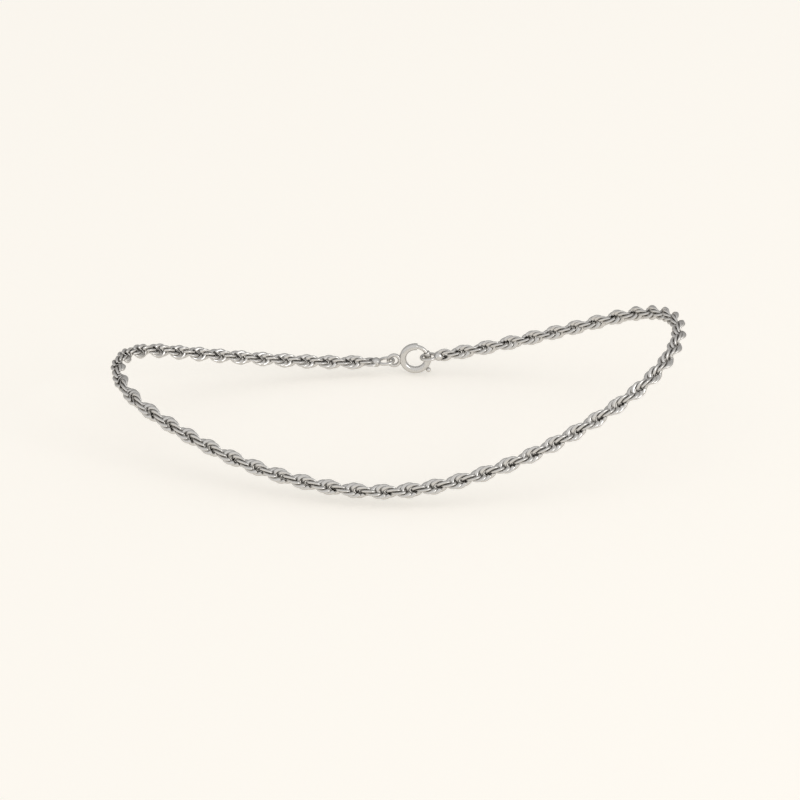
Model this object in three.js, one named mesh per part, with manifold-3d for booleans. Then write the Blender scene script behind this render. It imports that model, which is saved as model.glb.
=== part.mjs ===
// Rope chain anklet in polished silver, closed as it sits when worn.
// Millimetres, +Z up, +X towards the wide end of the loop, -Y away from the clasp.
// The origin is the middle of the opening at its widest, level with the mean height of its two ends.
import * as THREE from 'three';
import { mergeVertices } from 'three/addons/utils/BufferGeometryUtils.js';
import Module from 'manifold-3d';

const wasm = await Module();
wasm.setup();

// Loop: an egg of four arcs seen from above, measured on the middle of the rope.
// Its wide end is the front, and its narrow end is the back.
const HALF_WIDTH = 27;
const SIDE_RADIUS = 77.3;
const FRONT_RADIUS = 20;
const BACK_RADIUS = 16;

// Drape: the front lies above the back, and both sides hang below the line between them
const FRONT_RISE = 7.5;
const SIDE_DROP = 14.9;
const DRAPE_POWER = 1.8;

// Rope: one tube over the outside of the links
const ROPE_DIAMETER = 2.7;
const ROPE_SIDES = 8;
const ROPE_STEPS = 56;

// Rings soldered on the rope's two ends
const END_RING_RADIUS = 1.4;
const END_RING_WIRE = 0.6;

// Spring ring clasp, its eye and its thumb knob
const CLASP_RADIUS = 2.35;
const CLASP_WIRE = 1.3;
const EYE_RADIUS = 1.05;
const EYE_WIRE = 0.7;
const EYE_SINK = 0.4;
const KNOB_DIAMETER = 0.9;
const KNOB_LENGTH = 1.5;
const KNOB_ANGLE = THREE.MathUtils.degToRad(-50);

// Play between two rings that are pulled tight
const LINK_GAP = 0.3;

const WIRE_SIDES = 8;
const SMALL_RING_STEPS = 20;
const CLASP_STEPS = 28;
const KNOB_SIDES = 10;
const ROUTE_DIVISIONS = 2000;

const silver = { color: 0xc9c6c0, roughness: 0.18, metalness: 1.0 };

// Arcs of the loop in the order in which the rope runs: from the middle of the
// clasp's side round the back, along the other side, round the front and home.
function loopArcs() {
  const sideOffset = SIDE_RADIUS - HALF_WIDTH;
  const frontX = Math.sqrt((SIDE_RADIUS - FRONT_RADIUS) ** 2 - sideOffset ** 2);
  const backX = -Math.sqrt((SIDE_RADIUS - BACK_RADIUS) ** 2 - sideOffset ** 2);
  const frontHalf = Math.atan2(sideOffset, frontX);
  const backHalf = Math.atan2(sideOffset, -backX);
  const turns = [
    Math.PI / 2,
    Math.PI - backHalf,
    Math.PI + backHalf,
    2 * Math.PI - frontHalf,
    2 * Math.PI + frontHalf,
    2.5 * Math.PI,
  ];
  const centres = [
    { x: 0, y: -sideOffset, radius: SIDE_RADIUS },
    { x: backX, y: 0, radius: BACK_RADIUS },
    { x: 0, y: sideOffset, radius: SIDE_RADIUS },
    { x: frontX, y: 0, radius: FRONT_RADIUS },
    { x: 0, y: -sideOffset, radius: SIDE_RADIUS },
  ];
  return centres.map((centre, i) => ({
    ...centre,
    from: turns[i],
    length: centre.radius * (turns[i + 1] - turns[i]),
  }));
}

const ARCS = loopArcs();
const PLAN_LENGTH = ARCS.reduce((sum, arc) => sum + arc.length, 0);
const BACK_END = ARCS[1].x - BACK_RADIUS;
const FRONT_END = ARCS[3].x + FRONT_RADIUS;

function drapeHeight(x) {
  const along = (x - BACK_END) / (FRONT_END - BACK_END);
  const fromMiddle = Math.abs(2 * along - 1);
  return FRONT_RISE * (along - 0.5) - SIDE_DROP * (1 - fromMiddle ** DRAPE_POWER);
}

// Point on the middle of the rope, at a distance along the loop seen from above
function loopPoint(distance) {
  let left = distance;
  let arc = ARCS[0];
  for (const next of ARCS) {
    arc = next;
    if (left <= arc.length) break;
    left -= arc.length;
  }
  const angle = arc.from + left / arc.radius;
  const x = arc.x + arc.radius * Math.cos(angle);
  const y = arc.y + arc.radius * Math.sin(angle);
  return new THREE.Vector3(x, y, drapeHeight(x));
}

class RopeRoute extends THREE.Curve {
  constructor(from, to) {
    super();
    this.from = from;
    this.to = to;
    this.arcLengthDivisions = ROUTE_DIVISIONS;
  }

  getPoint(t) {
    return loopPoint(THREE.MathUtils.lerp(this.from, this.to, t));
  }
}

function toSolid(geometry) {
  const bare = geometry.clone();
  bare.deleteAttribute('normal');
  bare.deleteAttribute('uv');
  const merged = mergeVertices(bare, 1e-4);
  const vertProperties = new Float32Array(merged.attributes.position.array);
  const triVerts = new Uint32Array(merged.index.array);
  return new wasm.Manifold(new wasm.Mesh({ numProp: 3, vertProperties, triVerts }));
}

function toGeometry(solid) {
  const mesh = solid.getMesh();
  const geometry = new THREE.BufferGeometry();
  geometry.setAttribute('position', new THREE.BufferAttribute(mesh.vertProperties, 3));
  geometry.setIndex(new THREE.BufferAttribute(mesh.triVerts, 1));
  geometry.computeVertexNormals();
  return geometry;
}

function namedMesh(name, geometry) {
  const mesh = new THREE.Mesh(geometry, new THREE.MeshStandardMaterial(silver));
  mesh.name = name;
  return mesh;
}

// Stations along the clasp's own line, from the ring on the rope's first end (-)
// to the ring on its last end (+), with the spring ring's centre at 0.
const EYE_X = -(CLASP_RADIUS + CLASP_WIRE / 2 - EYE_SINK + EYE_RADIUS + EYE_WIRE / 2);
const BACK_WIRE_X = EYE_X - EYE_RADIUS + EYE_WIRE / 2 + LINK_GAP + END_RING_WIRE / 2;
const BACK_RING_X = BACK_WIRE_X - END_RING_RADIUS;
const FRONT_WIRE_X = CLASP_RADIUS - CLASP_WIRE / 2 - LINK_GAP - END_RING_WIRE / 2;
const FRONT_RING_X = FRONT_WIRE_X + END_RING_RADIUS;
const BACK_ROPE_X = BACK_RING_X - END_RING_RADIUS;
const FRONT_ROPE_X = FRONT_RING_X + END_RING_RADIUS;
const CLASP_SPAN = FRONT_ROPE_X - BACK_ROPE_X;

// The clasp's line is the straight chord between the rope's two ends
function claspFrame() {
  const backEnd = loopPoint(CLASP_SPAN / 2);
  const frontEnd = loopPoint(PLAN_LENGTH - CLASP_SPAN / 2);
  const along = frontEnd.clone().sub(backEnd).normalize();
  const turn = new THREE.Quaternion().setFromUnitVectors(new THREE.Vector3(1, 0, 0), along);
  const middle = backEnd.add(frontEnd).multiplyScalar(0.5);
  const centre = middle.addScaledVector(along, -(BACK_ROPE_X + FRONT_ROPE_X) / 2);
  return new THREE.Matrix4().compose(centre, turn, new THREE.Vector3(1, 1, 1));
}

const CLASP_FRAME = claspFrame();

function ropeTube() {
  const section = new THREE.Shape();
  for (let i = 0; i < ROPE_SIDES; i += 1) {
    const angle = (2 * Math.PI * i) / ROPE_SIDES;
    const x = (ROPE_DIAMETER / 2) * Math.cos(angle);
    const y = (ROPE_DIAMETER / 2) * Math.sin(angle);
    if (i === 0) section.moveTo(x, y);
    else section.lineTo(x, y);
  }
  section.closePath();
  const extrudePath = new RopeRoute(CLASP_SPAN / 2, PLAN_LENGTH - CLASP_SPAN / 2);
  return new THREE.ExtrudeGeometry(section, { steps: ROPE_STEPS, bevelEnabled: false, extrudePath });
}

// Closed ring lying level, its centre at a station on the clasp's line
function endRing(x) {
  const ring = new THREE.TorusGeometry(END_RING_RADIUS, END_RING_WIRE / 2, WIRE_SIDES, SMALL_RING_STEPS);
  return ring.translate(x, 0, 0).applyMatrix4(CLASP_FRAME);
}

// Ring standing upright along the clasp line, across the level end rings
function uprightRing(x, radius, wire, steps) {
  const ring = new THREE.TorusGeometry(radius, wire / 2, WIRE_SIDES, steps);
  return ring.rotateX(Math.PI / 2).translate(x, 0, 0);
}

function thumbKnob() {
  const knob = new THREE.CylinderGeometry(KNOB_DIAMETER / 2, KNOB_DIAMETER / 2, KNOB_LENGTH, KNOB_SIDES);
  knob.rotateZ(-Math.PI / 2).translate(CLASP_RADIUS + KNOB_LENGTH / 2, 0, 0);
  return knob.rotateY(-KNOB_ANGLE);
}

function ropeChain() {
  const tube = toSolid(ropeTube());
  const backRing = toSolid(endRing(BACK_RING_X));
  const frontRing = toSolid(endRing(FRONT_RING_X));
  return namedMesh('rope_chain', toGeometry(tube.add(backRing).add(frontRing)));
}

function clasp() {
  const ring = toSolid(uprightRing(0, CLASP_RADIUS, CLASP_WIRE, CLASP_STEPS));
  const eye = toSolid(uprightRing(EYE_X, EYE_RADIUS, EYE_WIRE, SMALL_RING_STEPS));
  const knob = toSolid(thumbKnob());
  const mesh = namedMesh('clasp', toGeometry(ring.add(eye).add(knob)));
  mesh.applyMatrix4(CLASP_FRAME);
  return mesh;
}

const anklet = new THREE.Group();
anklet.add(ropeChain(), clasp());

export default anklet;
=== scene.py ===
import math

import bpy
import numpy as np
from mathutils import Matrix, Vector
from mathutils.bvhtree import BVHTree


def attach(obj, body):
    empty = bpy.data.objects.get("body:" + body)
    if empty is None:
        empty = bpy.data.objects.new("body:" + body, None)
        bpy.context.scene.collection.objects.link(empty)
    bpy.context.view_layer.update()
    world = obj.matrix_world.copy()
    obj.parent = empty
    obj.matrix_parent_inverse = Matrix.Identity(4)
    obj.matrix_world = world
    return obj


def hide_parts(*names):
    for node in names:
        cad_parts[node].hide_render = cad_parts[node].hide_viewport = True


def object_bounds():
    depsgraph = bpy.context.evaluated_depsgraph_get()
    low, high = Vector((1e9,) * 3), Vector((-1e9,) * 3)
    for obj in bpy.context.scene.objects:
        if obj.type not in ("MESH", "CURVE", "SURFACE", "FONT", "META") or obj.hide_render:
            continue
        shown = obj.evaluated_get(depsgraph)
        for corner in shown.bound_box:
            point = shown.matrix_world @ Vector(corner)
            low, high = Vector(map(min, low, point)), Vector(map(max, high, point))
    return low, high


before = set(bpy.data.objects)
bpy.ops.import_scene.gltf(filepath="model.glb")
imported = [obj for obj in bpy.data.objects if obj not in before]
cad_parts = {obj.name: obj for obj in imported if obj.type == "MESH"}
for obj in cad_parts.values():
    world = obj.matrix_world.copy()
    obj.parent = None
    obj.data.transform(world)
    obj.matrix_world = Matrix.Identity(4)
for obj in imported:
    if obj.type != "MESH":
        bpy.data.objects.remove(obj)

# Rope chain anklet in silver: wire links, soldered end rings and a spring ring clasp, on a pale floor.
# Sizes are in millimetres, and finish_piece turns each piece into metres. The silver's unevenness,
# the floor and the light are in metres from the start.
CAD_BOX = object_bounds()
BODY = "root"
MM = 0.001

# Loop and drape, as in the part's source
HALF_WIDTH = 27.0
SIDE_RADIUS = 77.3
FRONT_RADIUS = 20.0
BACK_RADIUS = 16.0
FRONT_RISE = 7.5
SIDE_DROP = 14.9
DRAPE_POWER = 1.8
ROUTE_SAMPLES = 6000

# Rope: open oval links of flattened wire, each one turned and moved on from the last
ROPE_DIAMETER = 2.7
HALF_TURN = 4.4
LINKS_PER_HALF_TURN = 5.13
LINK_WIDTH = 0.74
LINK_THICKNESS = 0.48
LINK_STRETCH = 1.2
LINK_GAP_HALF_ANGLE = math.radians(32.0)
LINK_STEPS = 44
LINK_SIDES = 16
TWIST_HAND = -1.0
TWIST_START = 1.25
ROPE_PIECES = 4

# Rounding of a link's two ends: distance in from the end, and share of the full section
LINK_END = ((0.0, 0.6), (0.036, 0.88), (0.12, 1.0))

# Slow unevenness of the twist: length of each wave and how far it turns the links
TWIST_WAVES = ((57.0, math.radians(9.0)), (23.0, math.radians(5.0)))

# Map of a rope piece: a cell for each link, with its walls on the left and its two ends on the right
MAP_COLUMNS = 5
MAP_MARGIN = 0.03
MAP_WALLS_WIDTH = 0.86
MAP_FIRST_END = (0.93, 0.25)
MAP_END_RADII = (0.06, 0.2)
MAP_SECOND_END_SHIFT = (0.0, 0.5)

# Recesses, for the painted shade: rays from each vertex, their start above the surface, and links on each
# side of the one measured
LINK_RAYS = 128
CLASP_RAYS = 48
RAY_CLEARANCE = 0.01
NEIGHBOUR_LINKS = 10

# Rings soldered on the rope's ends
END_RING_RADIUS = 1.4
END_RING_WIRE = 0.6

# Solder that holds the rope's last link to its ring: distance towards the ring, and radius
SOLDER_PLUG = (
    (-1.35, 0.30), (-1.2, 0.55), (-0.95, 0.76), (-0.65, 0.89),
    (-0.35, 0.92), (-0.05, 0.82), (0.2, 0.62), (0.4, 0.40),
)

# Spring ring clasp: tube, gate, sliding bolt, slot, knob and eye
CLASP_RADIUS = 2.35
CLASP_WIRE = 1.3
GATE_START = math.radians(25.0)
GATE_END = math.radians(75.0)
BOLT_WIRE = 0.74
BOLT_SEAT = 0.4
BORE = 0.84
BORE_DEPTH = 0.5
LIP = 0.06
LIP_ROUNDING = 0.042
SLOT_START = math.radians(252.0)
SLOT_END = math.radians(316.0)
SLOT_HALF_WIDTH = math.radians(24.0)
SLOT_DEPTH = 0.28
SEAM_DEPTH = 0.05
SEAM_HALF_WIDTH = math.radians(3.0)
EDGE = math.radians(1.5)
KNOB_ANGLE = math.radians(-50.0)
EYE_RADIUS = 1.05
EYE_WIRE = 0.7
EYE_SINK = 0.4
EYE_SOLDER = (0.32, 0.50, 0.80)
PLAY = 0.3
SHARP_ANGLE = math.radians(40.0)

# Rows of vertices in the clasp's tube and bolt: counts, and how near the walls' rows come to slot and seam
CLASP_STEPS = 120
BOLT_STEPS = 40
WALL_STEPS = 13
WALL_TO_SLOT = math.radians(28.0)
WALL_TO_SEAM = math.radians(8.0)

# Knob: distance out from the middle of the clasp's tube, and radius
KNOB = (
    (0.25, 0.22), (0.66, 0.22), (0.69, 0.30), (0.75, 0.375), (0.84, 0.425), (0.96, 0.447), (1.12, 0.447),
    (1.24, 0.425), (1.34, 0.375), (1.42, 0.30), (1.47, 0.20), (1.495, 0.10), (1.5, 0.03),
)

# Skin round soldered shapes, which have no sharp edges
SOLDERED = ("end_ring_1", "end_ring_2", "clasp_eye")
FUSE_VOXEL = 0.06
FUSE_SMOOTHING = 8
FUSE_SMOOTH_FACTOR = 0.5

# Rows of vertices in whole rings, turned shapes and balls
RING_STEPS = 64
RING_SIDES = 24
BALL_STEPS = 17
BALL_POLE = 0.05

# Silver: tint of its reflections at the edges, and colours from the open surface to the deepest recess,
# darkening inward as painted shade
EDGE_TINT = (0.45, 0.44, 0.43)
SILVER_TO_PAINTED_SHADE = (
    (0.45, (0.64, 0.627, 0.609)),
    (0.80, (0.53, 0.517, 0.50)),
    (0.96, (0.10, 0.095, 0.09)),
)

# Unevenness of the silver, in metres: scale and detail of each noise, and what it changes
NOISE_RANGE = (0.3, 0.7)
PATCHES = (260.0, 2.0)
PATCH_SHIFT = (-0.06, 0.06)
POLISH = (2600.0, 4.0)
POLISH_ROUGHNESS = (0.18, 0.30)
MARKS = (9000.0, 3.0)
MARK_STRENGTH = 0.15
MARK_DEPTH = 0.00002

# Floor and light, in metres
FLOOR_HALF_SIZE = 3.0
FLOOR_GAP = 0.0005
FLOOR_COLOUR = (0.90, 0.870, 0.815)
FLOOR_ROUGHNESS = 0.9
FLOOR_SHINE = 0.1
FLOOR_GLOW = 0.31
ROOM_COLOUR = (1.0, 0.99, 0.975)
ROOM_FRONT = 0.90
ROOM_BACK = 0.56
ROOM_BLEND = 0.35
KEY_PLACE = (0.75, -0.6, 0.32)
KEY_SIZE = 0.4
KEY_POWER = 1.6

# Camera, fitted to the photograph's 800 pixel frame
IMAGE_SIZE = 800
PIXELS_PER_RADIAN = 2818.0
CAMERA_DISTANCE = 500.0
CAMERA_ELEVATION = math.radians(25.0)
AIM = (-1.37, 0.0, -10.4)
SENSOR = 36.0
NEAR_CLIP = 10.0


# Route of the loop

def loop_arcs():
    """Centre, radius, first angle and length of each arc, from the clasp's middle round the back."""
    offset = SIDE_RADIUS - HALF_WIDTH
    front_x = math.sqrt((SIDE_RADIUS - FRONT_RADIUS) ** 2 - offset**2)
    back_x = -math.sqrt((SIDE_RADIUS - BACK_RADIUS) ** 2 - offset**2)
    front_half = math.atan2(offset, front_x)
    back_half = math.atan2(offset, -back_x)
    turns = np.array([
        math.pi / 2,
        math.pi - back_half,
        math.pi + back_half,
        2 * math.pi - front_half,
        2 * math.pi + front_half,
        2.5 * math.pi,
    ])
    centres = np.array([(0, -offset), (back_x, 0), (0, offset), (front_x, 0), (0, -offset)])
    radii = np.array([SIDE_RADIUS, BACK_RADIUS, SIDE_RADIUS, FRONT_RADIUS, SIDE_RADIUS])
    return centres, radii, turns[:-1], radii * np.diff(turns)


ARC_CENTRES, ARC_RADII, ARC_STARTS, ARC_LENGTHS = loop_arcs()
PLAN_LENGTH = ARC_LENGTHS.sum()
BACK_END = ARC_CENTRES[1, 0] - BACK_RADIUS
FRONT_END = ARC_CENTRES[3, 0] + FRONT_RADIUS


def loop_points(distance):
    """Points on the rope's middle at distances along the loop seen from above."""
    ends = np.cumsum(ARC_LENGTHS)
    arc = np.minimum(np.searchsorted(ends, distance), len(ends) - 1)
    left = distance - (ends - ARC_LENGTHS)[arc]
    angle = ARC_STARTS[arc] + left / ARC_RADII[arc]
    x = ARC_CENTRES[arc, 0] + ARC_RADII[arc] * np.cos(angle)
    y = ARC_CENTRES[arc, 1] + ARC_RADII[arc] * np.sin(angle)
    along = (x - BACK_END) / (FRONT_END - BACK_END)
    from_middle = np.abs(2 * along - 1)
    z = FRONT_RISE * (along - 0.5) - SIDE_DROP * (1 - from_middle**DRAPE_POWER)
    return np.stack([x, y, z], axis=1)


# Stations on the clasp's line, from the ring at the rope's first end to the one at its last end
EYE_X = -(CLASP_RADIUS + CLASP_WIRE / 2 - EYE_SINK + EYE_RADIUS + EYE_WIRE / 2)
BACK_RING_X = EYE_X - EYE_RADIUS + EYE_WIRE / 2 + PLAY + END_RING_WIRE / 2 - END_RING_RADIUS
FRONT_RING_X = CLASP_RADIUS - CLASP_WIRE / 2 - PLAY - END_RING_WIRE / 2 + END_RING_RADIUS
BACK_ROPE_X = BACK_RING_X - END_RING_RADIUS
FRONT_ROPE_X = FRONT_RING_X + END_RING_RADIUS
CLASP_SPAN = FRONT_ROPE_X - BACK_ROPE_X


def clasp_frame():
    """Place of the clasp, whose line is the chord between the rope's two ends."""
    ends = np.array([CLASP_SPAN / 2, PLAN_LENGTH - CLASP_SPAN / 2])
    first, last = (Vector(point) for point in loop_points(ends))
    along = (last - first).normalized()
    centre = (first + last) / 2 - along * (BACK_ROPE_X + FRONT_ROPE_X) / 2
    turn = Vector((1.0, 0.0, 0.0)).rotation_difference(along)
    return Matrix.Translation(centre) @ turn.to_matrix().to_4x4()


def unit(vectors):
    return vectors / np.linalg.norm(vectors, axis=-1, keepdims=True)


class Rope:
    """The rope's middle line by true length, with directions along, out and up at any station."""

    def __init__(self):
        plan = np.linspace(CLASP_SPAN / 2, PLAN_LENGTH - CLASP_SPAN / 2, ROUTE_SAMPLES)
        self.points = loop_points(plan)
        steps = np.linalg.norm(np.diff(self.points, axis=0), axis=1)
        self.lengths = np.concatenate([[0.0], np.cumsum(steps)])
        self.length = self.lengths[-1]
        self.along = unit(np.gradient(self.points, self.lengths, axis=0))

    def frames(self, stations):
        def at(values):
            columns = [np.interp(stations, self.lengths, column) for column in values.T]
            return np.stack(columns, axis=1)

        along = unit(at(self.along))
        out = unit(np.cross(along, (0.0, 0.0, 1.0)))
        up = np.cross(out, along)
        return at(self.points), along, out, up


# Shapes as arrays of vertices in millimetres and quads

def tube_quads(sections, sides, closed):
    """Quads of a tube, section by section, and of its two flat ends where it isn't a ring."""
    rows = sections if closed else sections - 1
    k, m = np.meshgrid(np.arange(rows), np.arange(sides), indexing="ij")
    here, beyond = k * sides, (k + 1) % sections * sides
    after = (m + 1) % sides
    walls = np.stack([here + m, here + after, beyond + after, beyond + m], axis=-1).reshape(-1, 4)
    if closed:
        return walls
    low = np.arange(sides // 2 - 1)
    high = sides - 1 - low
    cap = np.stack([low, high, high - 1, low + 1], axis=1)
    return np.concatenate([walls, cap, cap[:, ::-1] + (sections - 1) * sides])


def points_out(vertices, quads):
    """Whether a closed shape's faces point out."""
    a, b, c, d = (vertices[quads[:, i]] for i in range(4))
    return np.sum(a * (np.cross(b - a, c - a) + np.cross(c - a, d - a))) > 0


def shape(vertices, quads):
    return vertices, quads if points_out(vertices, quads) else quads[:, ::-1]


def join(shapes):
    starts = np.cumsum([0] + [len(vertices) for vertices, quads in shapes])
    return (np.concatenate([vertices for vertices, quads in shapes]),
            np.concatenate([quads + start for (vertices, quads), start in zip(shapes, starts)]))


def moved(part, matrix):
    vertices, quads = part
    grid = np.array(matrix)
    return vertices @ grid[:3, :3].T + grid[:3, 3], quads


def swept_ring(radius, angles, wires, around, closed=False):
    """A tube bent round the Y axis, from the wire's radius at each angle and direction around it."""
    wires = np.broadcast_to(wires, (len(angles), len(around)))
    reach = radius + wires * np.cos(around)
    vertices = np.stack([
        reach * np.cos(angles)[:, None],
        wires * np.sin(around),
        reach * np.sin(angles)[:, None],
    ], axis=-1)
    return shape(vertices.reshape(-1, 3), tube_quads(len(angles), len(around), closed))


def whole_ring(radius, wire):
    angles = np.linspace(0, 2 * math.pi, RING_STEPS, endpoint=False)
    around = np.linspace(0, 2 * math.pi, RING_SIDES, endpoint=False)
    return swept_ring(radius, angles, wire / 2, around, closed=True)


def turned(profile, sides):
    """A shape turned round the X axis, from rows of distance along it and radius."""
    x, radius = np.array(profile).T
    around = np.linspace(0, 2 * math.pi, sides, endpoint=False)
    vertices = np.stack([
        np.repeat(x[:, None], sides, axis=1),
        radius[:, None] * np.cos(around),
        radius[:, None] * np.sin(around),
    ], axis=-1)
    return shape(vertices.reshape(-1, 3), tube_quads(len(x), sides, closed=False))


def ellipsoid(half_sizes):
    angle = np.linspace(BALL_POLE, math.pi - BALL_POLE, BALL_STEPS)
    ball = turned(np.stack([-np.cos(angle), np.sin(angle)], axis=1), RING_SIDES)
    return moved(ball, Matrix.Diagonal((*half_sizes, 1.0)))


def fused(shapes):
    """One skin round closed shapes that overlap, softened where they meet as solder is."""
    rough = mesh_object("rough", *join(shapes))
    remesh = rough.modifiers.new("remesh", "REMESH")
    remesh.mode = "VOXEL"
    remesh.voxel_size = FUSE_VOXEL
    smooth = rough.modifiers.new("smooth", "SMOOTH")
    smooth.factor = FUSE_SMOOTH_FACTOR
    smooth.iterations = FUSE_SMOOTHING
    skin = rough.evaluated_get(bpy.context.evaluated_depsgraph_get()).data
    vertices = np.empty(len(skin.vertices) * 3)
    skin.vertices.foreach_get("co", vertices)
    quads = np.empty(len(skin.loops), dtype=int)
    skin.loops.foreach_get("vertex_index", quads)
    bpy.data.objects.remove(rough)
    return shape(vertices.reshape(-1, 3), quads.reshape(-1, 4))


def mesh_object(name, vertices, quads):
    mesh = bpy.data.meshes.new(name)
    mesh.from_pydata(vertices.tolist(), [], quads.tolist())
    mesh.update()
    piece = bpy.data.objects.new(name, mesh)
    bpy.context.scene.collection.objects.link(piece)
    return piece


# Recesses, which the silver darkens as painted shade

def even_directions(count):
    """Directions spread evenly over a sphere."""
    step = np.arange(count)
    height = 1 - (2 * step + 1) / count
    level = np.sqrt(1 - height**2)
    turn = math.pi * (3 - math.sqrt(5)) * step
    return np.stack([level * np.cos(turn), level * np.sin(turn), height], axis=1)


def hidden_share(points, normals, tree, reach, rays):
    """How much of the view out from each point is closed, from 0 in the open to 1 deep inside."""
    directions = even_directions(rays)
    hidden = np.zeros(len(points))
    for i, (point, normal) in enumerate(zip(points, normals)):
        facing = directions @ normal
        start = Vector(point + normal * RAY_CLEARANCE)
        ahead = np.flatnonzero(facing > 0)
        shut = [facing[j] for j in ahead if tree.ray_cast(start, Vector(directions[j]), reach)[0]]
        hidden[i] = sum(shut) / facing[ahead].sum()
    return hidden


def vertex_normals(mesh):
    return np.array([vertex.normal for vertex in mesh.vertices])


def finish_piece(piece, recess, node, material):
    """Size in metres, smooth shading, the recess of each vertex, and what the piece stands for."""
    mesh = piece.data
    mesh.transform(Matrix.Diagonal((MM, MM, MM, 1.0)))
    mesh.shade_smooth()
    mesh.attributes.new("recess", "FLOAT", "POINT").data.foreach_set("value", recess)
    mesh.materials.append(material)
    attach(piece, BODY)
    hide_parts(node)


# Links of the rope

LINK_RADIUS = (ROPE_DIAMETER - LINK_WIDTH) / 2
LINK_HALF_LENGTH = LINK_RADIUS * LINK_STRETCH + LINK_WIDTH / 2
LINK_STEP = HALF_TURN / LINKS_PER_HALF_TURN


def link_sections():
    """Angle of each section round a link, and its share of the full section."""
    distances, end_shares = np.array(LINK_END).T
    inset = distances / LINK_RADIUS
    start, stop = LINK_GAP_HALF_ANGLE, 2 * math.pi - LINK_GAP_HALF_ANGLE
    plain = np.linspace(start + inset[-1], stop - inset[-1], LINK_STEPS - 2 * (len(inset) - 1))
    angles = np.concatenate([start + inset[:-1], plain, stop - inset[-2::-1]])
    shares = np.concatenate([end_shares[:-1], np.ones(len(plain)), end_shares[-2::-1]])
    return angles, shares


def link_vertices(centre, along, out, up, twist):
    """Vertices of open links in planes that hold the rope's middle line, one link for each row."""
    angles, shares = link_sections()
    around = np.linspace(0, 2 * math.pi, LINK_SIDES, endpoint=False)
    across = np.cos(twist)[:, None] * out + np.sin(twist)[:, None] * up
    flat = np.cross(along, across)
    forward, sideways = along[:, None, :], across[:, None, :]
    cos, sin = np.cos(angles)[None, :, None], np.sin(angles)[None, :, None]
    middle = centre[:, None, :] + LINK_RADIUS * (LINK_STRETCH * cos * forward + sin * sideways)
    outward = unit(cos * forward + LINK_STRETCH * sin * sideways)
    section = (LINK_WIDTH / 2 * np.cos(around)[:, None] * outward[:, :, None, :]
               + LINK_THICKNESS / 2 * np.sin(around)[:, None] * flat[:, None, None, :])
    return (middle[:, :, None, :] + shares[:, None, None] * section).reshape(len(centre), -1, 3)


def link_map():
    """Place of each corner of a link's quads in its cell of the map."""
    k, m = np.meshgrid(np.arange(LINK_STEPS - 1), np.arange(LINK_SIDES), indexing="ij")
    corners = [(k, m), (k, m + 1), (k + 1, m + 1), (k + 1, m)]
    walls = np.stack([
        np.stack([a / (LINK_STEPS - 1) * MAP_WALLS_WIDTH, b / LINK_SIDES], axis=-1) for a, b in corners
    ], axis=2).reshape(-1, 4, 2)
    around = np.linspace(0, 2 * math.pi, LINK_SIDES, endpoint=False)
    circle = np.stack([np.cos(around), np.sin(around)], axis=1)
    disc = np.array(MAP_FIRST_END) + np.array(MAP_END_RADII) * circle
    low = np.arange(LINK_SIDES // 2 - 1)
    high = LINK_SIDES - 1 - low
    cap = disc[np.stack([low, high, high - 1, low + 1], axis=1)]
    return np.concatenate([walls, cap, cap[:, ::-1] + MAP_SECOND_END_SHIFT])


def straight_links():
    """A link at the origin and its neighbours on both sides, in a straight rope."""
    index = np.arange(-NEIGHBOUR_LINKS, NEIGHBOUR_LINKS + 1)
    along, out, up = (1.0, 0.0, 0.0), (0.0, -1.0, 0.0), (0.0, 0.0, 1.0)
    axes = [np.tile(axis, (len(index), 1)) for axis in (along, out, up)]
    centre = axes[0] * (index * LINK_STEP)[:, None]
    return link_vertices(centre, *axes, TWIST_HAND * math.pi / LINKS_PER_HALF_TURN * index)


def link_recess(quads):
    """Recess of each vertex of a link among its neighbours, the same all along the rope."""
    links = straight_links()
    link = links[NEIGHBOUR_LINKS]
    vertices, faces = join([(each, quads) for each in links])
    tree = BVHTree.FromPolygons(vertices.tolist(), faces.tolist())
    probe = mesh_object("probe", link, quads)
    normals = vertex_normals(probe.data)
    bpy.data.objects.remove(probe)
    return hidden_share(link, normals, tree, ROPE_DIAMETER, LINK_RAYS)


def add_map(mesh, cell_map, count):
    """A map with a cell for each link, in rows from the lower left."""
    rows = math.ceil(count / MAP_COLUMNS)
    cell = np.arange(count)
    corner = np.stack([cell % MAP_COLUMNS, cell // MAP_COLUMNS], axis=1)
    inset = MAP_MARGIN + (1 - 2 * MAP_MARGIN) * cell_map
    places = (corner[:, None, None, :] + inset[None]) / (MAP_COLUMNS, rows)
    mesh.uv_layers.new(name="OFBake").uv.foreach_set("vector", places.ravel())


def add_rope(rope, silver):
    """The rope's links, spaced to reach both of its ends, in pieces of about equal length."""
    first, last = LINK_HALF_LENGTH, rope.length - LINK_HALF_LENGTH
    stations = np.linspace(first, last, round((last - first) / LINK_STEP) + 1)
    twist = TWIST_START + TWIST_HAND * math.pi * stations / HALF_TURN
    for wave, swing in TWIST_WAVES:
        twist += swing * np.sin(2 * math.pi * stations / wave)
    links = link_vertices(*rope.frames(stations), twist)
    quads = tube_quads(LINK_STEPS, LINK_SIDES, closed=False)
    cell_map = link_map()
    if not points_out(links[0] - links[0].mean(axis=0), quads):
        quads, cell_map = quads[:, ::-1], cell_map[:, ::-1]
    recess = link_recess(quads)
    for number, group in enumerate(np.array_split(links, ROPE_PIECES), start=1):
        piece = mesh_object(f"rope_links_{number}", *join([(link, quads) for link in group]))
        add_map(piece.data, cell_map, len(group))
        finish_piece(piece, np.tile(recess, len(group)), "rope_chain", silver)


# End rings and clasp, on the clasp's own line

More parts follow.
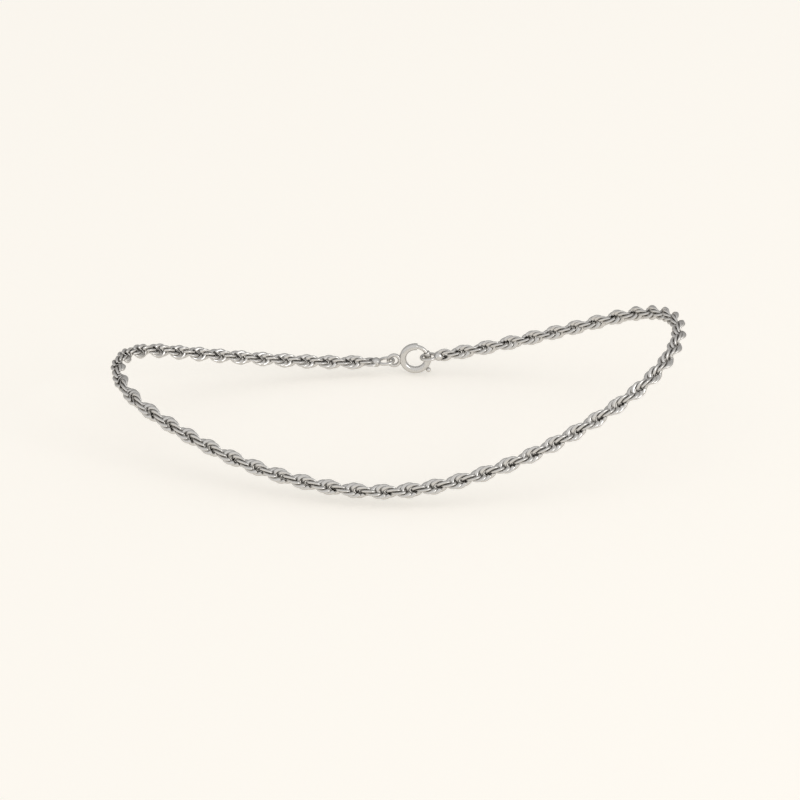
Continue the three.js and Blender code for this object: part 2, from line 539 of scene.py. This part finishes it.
def end_ring(ring_x, rope_x):
    """A level ring, and the solder that runs from it into the rope's last link."""
    towards = math.copysign(1.0, ring_x - rope_x)
    level = Matrix.Rotation(math.pi / 2, 4, "X")
    place = Matrix.Translation((ring_x, 0, 0)) @ level
    ring = moved(whole_ring(END_RING_RADIUS, END_RING_WIRE), place)
    profile = [(rope_x + towards * distance, radius) for distance, radius in SOLDER_PLUG]
    return fused([ring, turned(profile, RING_SIDES)])


def clasp_tube():
    """The spring ring's tube, open at the gate and bored at both ends, with a slot and a seam."""
    tube = CLASP_WIRE / 2
    lip = np.array([
        (BORE_DEPTH, BORE / 2),
        (LIP, BORE / 2),
        (0.0, BORE / 2 + LIP / 2),
        (0.0, tube - 2 * LIP),
        (LIP / 2, tube - LIP_ROUNDING),
        (LIP * 2, tube),
    ])
    depth = lip[:, 0] / CLASP_RADIUS
    last = 2 * math.pi + GATE_START
    plain = np.linspace(GATE_END + depth[-1], last - depth[-1], CLASP_STEPS)[1:-1]
    slot_edges = [SLOT_START, SLOT_START + EDGE, SLOT_END - EDGE, SLOT_END]
    middle = np.sort(np.concatenate([plain, slot_edges]))
    angles = np.concatenate([GATE_END + depth, middle, last - depth[::-1]])
    across = np.concatenate([
        [-SLOT_HALF_WIDTH - EDGE, -SLOT_HALF_WIDTH, 0.0, SLOT_HALF_WIDTH, SLOT_HALF_WIDTH + EDGE],
        np.linspace(WALL_TO_SLOT, math.pi - WALL_TO_SEAM, WALL_STEPS),
        [math.pi - SEAM_HALF_WIDTH, math.pi, math.pi + SEAM_HALF_WIDTH],
        np.linspace(math.pi + WALL_TO_SEAM, 2 * math.pi - WALL_TO_SLOT, WALL_STEPS),
    ])
    wires = np.full((len(angles), len(across)), tube)
    wires[:len(lip)] = lip[:, 1:]
    wires[-len(lip):] = lip[::-1, 1:]
    in_slot = (angles > SLOT_START + EDGE / 2) & (angles < SLOT_END - EDGE / 2)
    wires[np.ix_(in_slot, np.abs(across) < SLOT_HALF_WIDTH + EDGE / 2)] -= SLOT_DEPTH
    between = slice(len(lip), -len(lip))
    wires[between, np.argmin(np.abs(across - math.pi))] -= SEAM_DEPTH
    return swept_ring(CLASP_RADIUS, angles, wires, across)


def clasp_bolt():
    """The sliding bolt across the gate, with its ends in the tube's bores."""
    inside = BOLT_SEAT / CLASP_RADIUS
    angles = np.linspace(GATE_START - inside, GATE_END + inside, BOLT_STEPS)
    around = np.linspace(0, 2 * math.pi, RING_SIDES, endpoint=False)
    return swept_ring(CLASP_RADIUS, angles, BOLT_WIRE / 2, around)


def clasp_knob():
    out = Matrix.Rotation(-KNOB_ANGLE, 4, "Y") @ Matrix.Translation((CLASP_RADIUS, 0, 0))
    return moved(turned(KNOB, RING_SIDES), out)


def clasp_eye():
    """The eye and the solder that holds it on the spring ring."""
    ring = moved(whole_ring(EYE_RADIUS, EYE_WIRE), Matrix.Translation((EYE_X, 0, 0)))
    seat = Matrix.Translation((-CLASP_RADIUS - CLASP_WIRE / 2, 0, 0))
    return fused([ring, moved(ellipsoid(EYE_SOLDER), seat)])


def add_clasp(silver):
    """The end rings and the clasp's parts, each with its recesses among the others."""
    parts = {
        "end_ring_1": ("rope_chain", end_ring(BACK_RING_X, BACK_ROPE_X)),
        "end_ring_2": ("rope_chain", end_ring(FRONT_RING_X, FRONT_ROPE_X)),
        "clasp_tube": ("clasp", clasp_tube()),
        "clasp_bolt": ("clasp", clasp_bolt()),
        "clasp_knob": ("clasp", clasp_knob()),
        "clasp_eye": ("clasp", clasp_eye()),
    }
    vertices, quads = join([part for node, part in parts.values()])
    tree = BVHTree.FromPolygons(vertices.tolist(), quads.tolist())
    place = clasp_frame()
    for name, (node, part) in parts.items():
        piece = mesh_object(name, *part)
        normals = vertex_normals(piece.data)
        recess = hidden_share(part[0], normals, tree, CLASP_RADIUS, CLASP_RAYS)
        piece.data.transform(place)
        finish_piece(piece, recess, node, silver)
        if name not in SOLDERED:
            piece.data.set_sharp_from_angle(angle=SHARP_ANGLE)


# Silver

def silver_material():
    """Silver with a soft polish, patchy painted shade in the recesses and fine handling marks."""
    material = bpy.data.materials.new("silver")
    material.use_nodes = True
    nodes, links = material.node_tree.nodes, material.node_tree.links
    shader = nodes["Principled BSDF"]
    shader.inputs["Metallic"].default_value = 1.0
    shader.inputs["Specular Tint"].default_value = (*EDGE_TINT, 1)
    place = nodes.new("ShaderNodeTexCoord")

    def noise(scale, detail):
        texture = nodes.new("ShaderNodeTexNoise")
        texture.inputs["Scale"].default_value = scale
        texture.inputs["Detail"].default_value = detail
        links.new(place.outputs["Object"], texture.inputs["Vector"])
        return texture.outputs["Fac"]

    def spread(value, limits):
        ramp = nodes.new("ShaderNodeMapRange")
        ramp.inputs["From Min"].default_value, ramp.inputs["From Max"].default_value = NOISE_RANGE
        ramp.inputs["To Min"].default_value, ramp.inputs["To Max"].default_value = limits
        links.new(value, ramp.inputs["Value"])
        return ramp.outputs["Result"]

    # Painted shade: the base colour darkens where more of the view out is closed by nearby wire, shifted in
    # patches by noise
    recess = nodes.new("ShaderNodeAttribute")
    recess.attribute_name = "recess"
    depth = nodes.new("ShaderNodeMath")
    depth.operation = "ADD"
    links.new(recess.outputs["Fac"], depth.inputs[0])
    links.new(spread(noise(*PATCHES), PATCH_SHIFT), depth.inputs[1])
    painted_shade = nodes.new("ShaderNodeValToRGB")
    stops = painted_shade.color_ramp.elements
    stops.new(SILVER_TO_PAINTED_SHADE[1][0])
    for stop, (position, colour) in zip(stops, SILVER_TO_PAINTED_SHADE):
        stop.position = position
        stop.color = (*colour, 1)
    links.new(depth.outputs["Value"], painted_shade.inputs["Fac"])
    links.new(painted_shade.outputs["Color"], shader.inputs["Base Color"])

    links.new(spread(noise(*POLISH), POLISH_ROUGHNESS), shader.inputs["Roughness"])

    bump = nodes.new("ShaderNodeBump")
    bump.inputs["Strength"].default_value = MARK_STRENGTH
    bump.inputs["Distance"].default_value = MARK_DEPTH
    links.new(noise(*MARKS), bump.inputs["Height"])
    links.new(bump.outputs["Normal"], shader.inputs["Normal"])
    return material


# Studio

def floor_material():
    material = bpy.data.materials.new("floor")
    material.use_nodes = True
    shader = material.node_tree.nodes["Principled BSDF"]
    shader.inputs["Base Color"].default_value = (*FLOOR_COLOUR, 1)
    shader.inputs["Roughness"].default_value = FLOOR_ROUGHNESS
    shader.inputs["Specular IOR Level"].default_value = FLOOR_SHINE
    shader.inputs["Emission Color"].default_value = (*FLOOR_COLOUR, 1)
    shader.inputs["Emission Strength"].default_value = FLOOR_GLOW
    return material


def add_floor():
    half = FLOOR_HALF_SIZE
    level = CAD_BOX[0].z - FLOOR_GAP
    corners = [(-half, -half, level), (half, -half, level), (half, half, level), (-half, half, level)]
    mesh = bpy.data.meshes.new("floor")
    mesh.from_pydata(corners, [], [(0, 1, 2, 3)])
    floor = bpy.data.objects.new("floor", mesh)
    bpy.context.scene.collection.objects.link(floor)
    mesh.materials.append(floor_material())


def add_key():
    """One soft light from the right, turned to the middle of the loop."""
    light = bpy.data.lights.new("key", "AREA")
    light.shape = "SQUARE"
    light.size = KEY_SIZE
    light.energy = KEY_POWER
    lamp = bpy.data.objects.new("key", light)
    lamp.location = KEY_PLACE
    lamp.rotation_euler = (-Vector(KEY_PLACE)).to_track_quat("-Z", "Y").to_euler()
    bpy.context.scene.collection.objects.link(lamp)


def add_room():
    """A room that is light in front and darker behind."""
    world = bpy.data.worlds.new("studio")
    world.use_nodes = True
    nodes, links = world.node_tree.nodes, world.node_tree.links
    place = nodes.new("ShaderNodeTexCoord")
    split = nodes.new("ShaderNodeSeparateXYZ")
    depth = nodes.new("ShaderNodeMapRange")
    depth.interpolation_type = "SMOOTHSTEP"
    depth.inputs["From Min"].default_value = -ROOM_BLEND
    depth.inputs["From Max"].default_value = ROOM_BLEND
    depth.inputs["To Min"].default_value = ROOM_FRONT
    depth.inputs["To Max"].default_value = ROOM_BACK
    links.new(place.outputs["Generated"], split.inputs["Vector"])
    links.new(split.outputs["Y"], depth.inputs["Value"])
    links.new(depth.outputs["Result"], nodes["Background"].inputs["Strength"])
    nodes["Background"].inputs["Color"].default_value = (*ROOM_COLOUR, 1)
    bpy.context.scene.world = world
    bpy.context.scene.view_settings.view_transform = "Standard"


def add_camera():
    camera = bpy.data.cameras.new("camera")
    camera.sensor_width = SENSOR
    camera.lens = PIXELS_PER_RADIAN * SENSOR / IMAGE_SIZE
    camera.clip_start = NEAR_CLIP * MM
    holder = bpy.data.objects.new("camera", camera)
    back = Vector((0.0, -math.cos(CAMERA_ELEVATION), math.sin(CAMERA_ELEVATION)))
    holder.location = (Vector(AIM) + back * CAMERA_DISTANCE) * MM
    holder.rotation_euler = (-back).to_track_quat("-Z", "Y").to_euler()
    bpy.context.scene.collection.objects.link(holder)
    bpy.context.scene.camera = holder


add_camera()
add_room()
add_key()
add_floor()
SILVER = silver_material()
add_rope(Rope(), SILVER)
add_clasp(SILVER)
